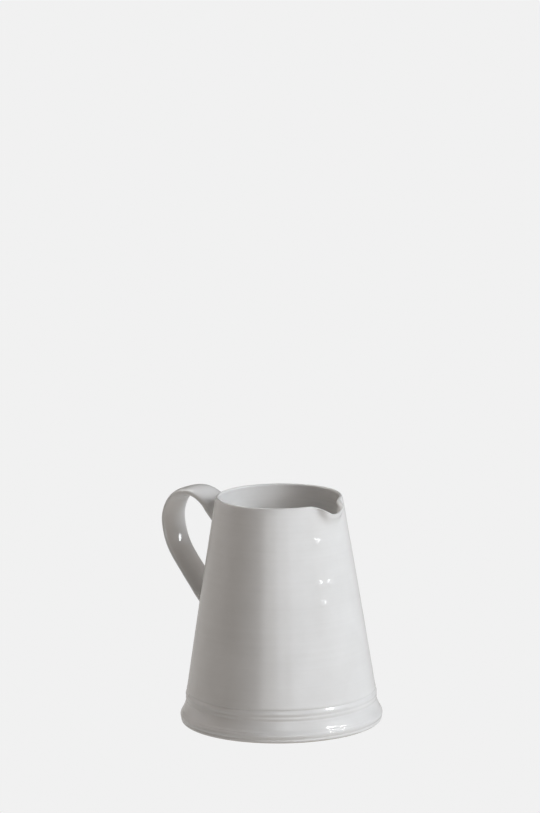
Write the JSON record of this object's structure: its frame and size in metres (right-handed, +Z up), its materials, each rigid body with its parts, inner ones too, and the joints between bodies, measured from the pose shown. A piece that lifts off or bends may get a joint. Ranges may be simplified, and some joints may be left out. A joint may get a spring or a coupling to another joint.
{
  "type": "ceramic pitcher",
  "caption": "Conical hand-thrown glazed pitcher with a flared beaded foot, a pulled spout and a strap handle opposite it.",
  "frame": {"origin": "centre of the flat base that the pitcher stands on, on the axis of the thrown wall", "axes": "+Z up along the axis of the wall, +X towards the spout, -X towards the handle"},
  "size_m": [0.1902, 0.1604, 0.18],
  "materials": {
    "white_glaze": "soft gloss white glaze over thrown clay",
    "bare_clay": "unglazed fired clay, cut flat"
  },
  "bodies": {
    "root": {"body_wall": "white_glaze", "foot_moulding": "white_glaze", "base_floor": "bare_clay", "strap_handle": "white_glaze", "upper_handle_lute": "white_glaze", "lower_handle_lute": "white_glaze"}
  },
  "joints": []
}
